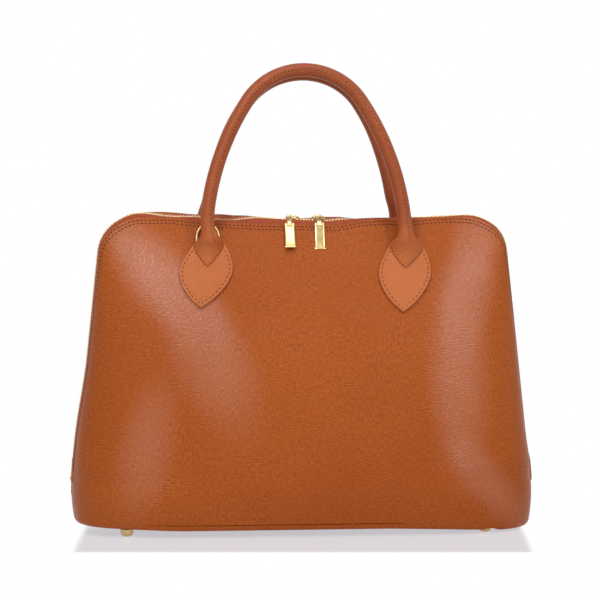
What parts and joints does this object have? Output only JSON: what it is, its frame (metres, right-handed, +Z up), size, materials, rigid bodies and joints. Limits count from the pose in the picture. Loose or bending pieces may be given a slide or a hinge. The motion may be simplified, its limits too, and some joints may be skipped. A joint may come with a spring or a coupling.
{
  "type": "leather handbag",
  "caption": "Zip-top leather handbag with a stiff footed base, moulded halves, rolled carrying handles on leaf-shaped tabs, and gold zip pulls and strap rings.",
  "frame": {"origin": "on the ground under the middle of the bag", "axes": "+X along the bag to its right as pictured, +Y from front to back, +Z up"},
  "size_m": [0.3952, 0.128, 0.3944],
  "materials": {
    "tan_leather": "fine crosshatch print, satin",
    "dark_leather": "plain, satin, stitched",
    "lining": "matte weave",
    "zip_tape": "matte weave",
    "gold_metal": "polished",
    "stiffener": "matte fibreboard",
    "handle_filling": "matte cord"
  },
  "bodies": {
    "base": {"base_panel": "tan_leather", "base_board": "stiffener", "base_lining": "lining", "foot_front_left": "gold_metal", "foot_front_right": "gold_metal", "foot_back_left": "gold_metal", "foot_back_right": "gold_metal", "foot_washers": "gold_metal"},
    "front_half": {"front_panel": "tan_leather", "front_lining": "lining", "front_zip_tape": "zip_tape", "front_zip_teeth": "gold_metal", "front_left_handle_tab": "tan_leather", "front_right_handle_tab": "tan_leather", "front_ring_keeper": "dark_leather", "left_zip_end_tab": "dark_leather", "right_zip_end_tab": "dark_leather"},
    "back_half": {"back_panel": "tan_leather", "back_lining": "lining", "back_zip_tape": "zip_tape", "back_zip_teeth": "gold_metal", "back_left_handle_tab": "tan_leather", "back_right_handle_tab": "tan_leather", "back_ring_keeper": "dark_leather"},
    "front_handle": {"front_handle_grip": "tan_leather", "front_handle_core": "handle_filling"},
    "back_handle": {"back_handle_grip": "tan_leather", "back_handle_core": "handle_filling"},
    "front_ring": {"front_strap_ring": "gold_metal"},
    "back_ring": {"back_strap_ring": "gold_metal"},
    "left_zip_slider": {"left_slider": "gold_metal"},
    "left_link": {"left_slider_link": "gold_metal"},
    "left_zip_pull": {"left_pull": "gold_metal"},
    "right_zip_slider": {"right_slider": "gold_metal"},
    "right_link": {"right_slider_link": "gold_metal"},
    "right_zip_pull": {"right_pull": "gold_metal"}
  },
  "joints": [
    {"name": "front_half_open", "type": "hinge", "parent": "base", "child": "front_half", "pos_m": [0, -0.058, 0.0099], "axis": [1, 0, 0], "range_deg": [0, 14]},
    {"name": "back_half_open", "type": "hinge", "parent": "base", "child": "back_half", "pos_m": [0, 0.058, 0.0099], "axis": [-1, 0, 0], "range_deg": [0, 14]},
    {"name": "front_handle_fold", "type": "hinge", "parent": "front_half", "child": "front_handle", "pos_m": [0, -0.0322, 0.243], "axis": [1, 0, 0], "range_deg": [0, 110]},
    {"name": "back_handle_fold", "type": "hinge", "parent": "back_half", "child": "back_handle", "pos_m": [0, 0.0322, 0.243], "axis": [-1, 0, 0], "range_deg": [0, 110]},
    {"name": "front_ring_swing", "type": "hinge", "parent": "front_half", "child": "front_ring", "pos_m": [-0.084, -0.0219, 0.2445], "axis": [1, 0, 0], "range_deg": [0, 30]},
    {"name": "back_ring_swing", "type": "hinge", "parent": "back_half", "child": "back_ring", "pos_m": [0.084, 0.0219, 0.2445], "axis": [-1, 0, 0], "range_deg": [0, 30]},
    {"name": "left_slider_travel", "type": "slide", "parent": "front_half", "child": "left_zip_slider", "axis": [-1, 0, 0], "range_m": [0, 0.0565]},
    {"name": "right_slider_travel", "type": "slide", "parent": "front_half", "child": "right_zip_slider", "axis": [1, 0, 0], "range_m": [-0.005, 0.107]},
    {"name": "left_link_swing", "type": "hinge", "parent": "left_zip_slider", "child": "left_link", "pos_m": [-0.0083, 0, 0.26985], "axis": [-1, 0, 0], "range_deg": [0, 150]},
    {"name": "right_link_swing", "type": "hinge", "parent": "right_zip_slider", "child": "right_link", "pos_m": [0.0146, 0, 0.26985], "axis": [-1, 0, 0], "range_deg": [0, 150]},
    {"name": "left_pull_swing", "type": "hinge", "parent": "left_link", "child": "left_zip_pull", "pos_m": [-0.0083, -0.01256, 0.26], "axis": [-1, 0, 0], "range_deg": [0, 90]},
    {"name": "right_pull_swing", "type": "hinge", "parent": "right_link", "child": "right_zip_pull", "pos_m": [0.0146, -0.01256, 0.26], "axis": [-1, 0, 0], "range_deg": [0, 90]}
  ]
}
